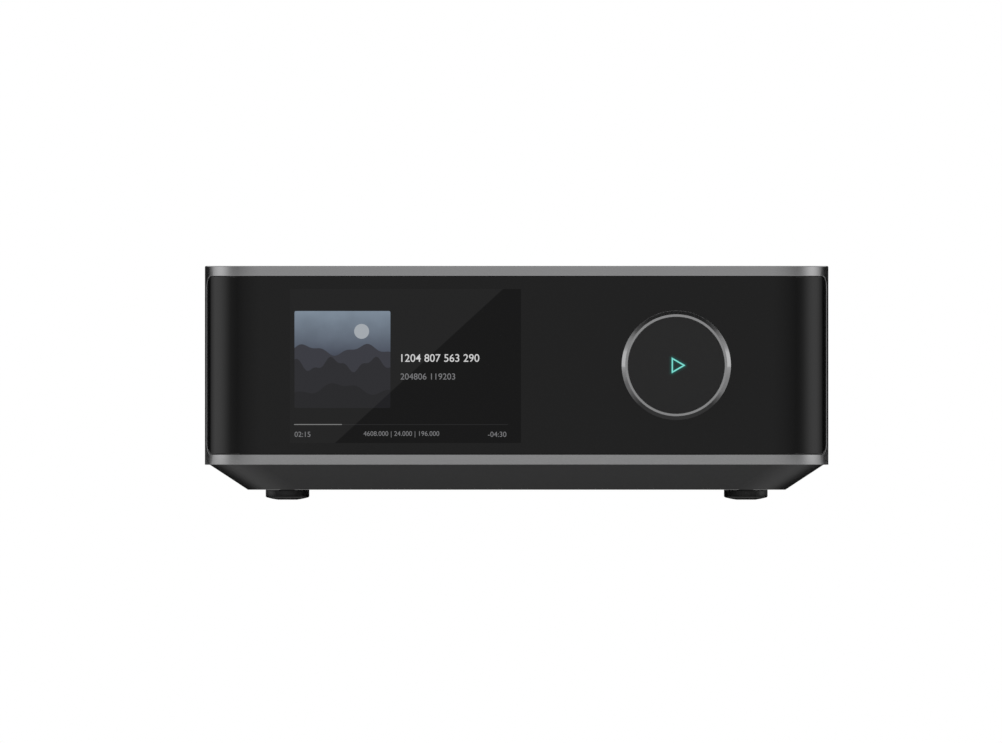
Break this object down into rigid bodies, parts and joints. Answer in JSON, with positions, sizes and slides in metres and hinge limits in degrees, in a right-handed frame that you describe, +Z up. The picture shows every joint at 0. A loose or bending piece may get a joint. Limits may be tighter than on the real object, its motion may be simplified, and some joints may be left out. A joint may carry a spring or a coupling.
{
  "type": "streaming amplifier",
  "caption": "Compact desktop streaming amplifier: grey metal case on a tapered base, wrap-round glossy front with a display, and a ringed turn-and-press knob.",
  "frame": {"origin": "under the middle of the object's box, on the surface that its feet stand on", "axes": "+Z up, -Y out of the front, +X to the right as seen from the front"},
  "size_m": [0.2, 0.214, 0.075],
  "materials": {
    "case_aluminium": "bead-blasted and anodised in a mid grey",
    "panel_gloss": "polished near-black panel",
    "base_paint": "fine matt dark grey paint",
    "foot_rubber": "matt black rubber",
    "ring_aluminium": "turned, blasted and anodised",
    "cap_black": "satin black",
    "icon_light": "light guide that glows teal",
    "inner_black": "moulded black plastic",
    "rear_paint": "satin black paint",
    "screw_steel": "black-coated steel",
    "socket_steel": "tin-plated steel",
    "contact_gold": "gold-plated brass",
    "grip_red": "moulded red plastic",
    "grip_black": "moulded black plastic",
    "board_green": "solder mask over glass-fibre board",
    "chip_black": "moulded epoxy",
    "sink_aluminium": "black anodised extrusion",
    "coil_core": "ferrite",
    "transformer_core": "taped winding on a ferrite core",
    "capacitor_sleeve": "shrunk plastic sleeve",
    "display_glass": "display face behind the panel",
    "ribbon_film": "polyimide film",
    "fuse_glass": "clear glass tube",
    "magnet_ferrite": "bonded ferrite"
  },
  "bodies": {
    "root": {"case_shell": "case_aluminium", "base_tray": "base_paint", "feet": "foot_rubber", "base_screws": "screw_steel", "inner_screws": "screw_steel", "front_panel": "panel_gloss", "panel_carrier": "inner_black", "display_module": "display_glass", "ribbon_cables": "ribbon_film", "knob_bush": "inner_black", "knob_board": "board_green", "knob_switch": "inner_black", "post_base": "inner_black", "post_nuts": "contact_gold", "line_in_left_jack": "contact_gold", "line_in_right_jack": "contact_gold", "sub_out_jack": "contact_gold", "jack_insulators": "inner_black", "jack_contacts": "contact_gold", "trigger_jack": "inner_black", "optical_port": "inner_black", "hdmi_port": "socket_steel", "usb_port": "socket_steel", "ethernet_port": "socket_steel", "mains_inlet": "inner_black", "inlet_pins": "contact_gold", "rear_panel": "rear_paint", "rear_screws": "screw_steel", "main_board": "board_green", "supply_board": "board_green", "input_board": "board_green", "input_standoffs": "contact_gold", "heat_sink": "sink_aluminium", "board_chips": "chip_black", "shield_can": "socket_steel", "filter_coils": "coil_core", "transformer": "transformer_core", "supply_capacitors": "capacitor_sleeve", "mains_fuse": "fuse_glass", "post_stem_1": "contact_gold", "post_stem_2": "contact_gold", "post_stem_3": "contact_gold", "post_stem_4": "contact_gold"},
    "knob_carriage": {"knob_hub": "inner_black", "knob_cap": "cap_black", "knob_icon": "icon_light", "knob_retainer": "socket_steel", "knob_plunger": "inner_black"},
    "knob_wheel": {"knob_ring": "ring_aluminium", "knob_magnets": "magnet_ferrite"},
    "optical_flap": {"optical_shutter": "inner_black"},
    "clamp_1": {"post_washer_1": "contact_gold"},
    "grip_1": {"post_cap_1": "grip_black"},
    "clamp_2": {"post_washer_2": "contact_gold"},
    "grip_2": {"post_cap_2": "grip_black"},
    "clamp_3": {"post_washer_3": "contact_gold"},
    "grip_3": {"post_cap_3": "grip_red"},
    "clamp_4": {"post_washer_4": "contact_gold"},
    "grip_4": {"post_cap_4": "grip_red"}
  },
  "joints": [
    {"name": "knob_press", "type": "slide", "parent": "root", "child": "knob_carriage", "axis": [0, 1, 0], "range_m": [0, 0.0006], "stiffness_N_per_m": 1500, "springref_m": -0.0005},
    {"name": "knob_turn", "type": "hinge", "parent": "knob_carriage", "child": "knob_wheel", "pos_m": [0.0512, -0.103, 0.0431], "axis": [0, 1, 0], "continuous": true},
    {"name": "shutter_swing", "type": "hinge", "parent": "root", "child": "optical_flap", "pos_m": [-0.02184, 0.08985, 0.0256], "axis": [-1, 0, 0], "range_deg": [0, 80], "stiffness_Nm_per_rad": 0.0005, "springref_deg": -17.19},
    {"name": "post_1_travel", "type": "slide", "parent": "root", "child": "clamp_1", "axis": [0, 1, 0], "range_m": [0, 0.004]},
    {"name": "post_1_turn", "type": "hinge", "parent": "clamp_1", "child": "grip_1", "pos_m": [-0.061, 0.1, 0.0345], "axis": [0, 1, 0], "range_deg": [0, 1440]},
    {"name": "post_2_travel", "type": "slide", "parent": "root", "child": "clamp_2", "axis": [0, 1, 0], "range_m": [0, 0.004]},
    {"name": "post_2_turn", "type": "hinge", "parent": "clamp_2", "child": "grip_2", "pos_m": [-0.042, 0.1, 0.0345], "axis": [0, 1, 0], "range_deg": [0, 1440]},
    {"name": "post_3_travel", "type": "slide", "parent": "root", "child": "clamp_3", "axis": [0, 1, 0], "range_m": [0, 0.004]},
    {"name": "post_3_turn", "type": "hinge", "parent": "clamp_3", "child": "grip_3", "pos_m": [-0.061, 0.1, 0.0535], "axis": [0, 1, 0], "range_deg": [0, 1440]},
    {"name": "post_4_travel", "type": "slide", "parent": "root", "child": "clamp_4", "axis": [0, 1, 0], "range_m": [0, 0.004]},
    {"name": "post_4_turn", "type": "hinge", "parent": "clamp_4", "child": "grip_4", "pos_m": [-0.042, 0.1, 0.0535], "axis": [0, 1, 0], "range_deg": [0, 1440]}
  ],
  "couplings": [
    {"joint": "post_1_turn", "follows": "post_1_travel", "rad_per_m": 6283.1},
    {"joint": "post_2_turn", "follows": "post_2_travel", "rad_per_m": 6283.1},
    {"joint": "post_3_turn", "follows": "post_3_travel", "rad_per_m": 6283.1},
    {"joint": "post_4_turn", "follows": "post_4_travel", "rad_per_m": 6283.1}
  ]
}
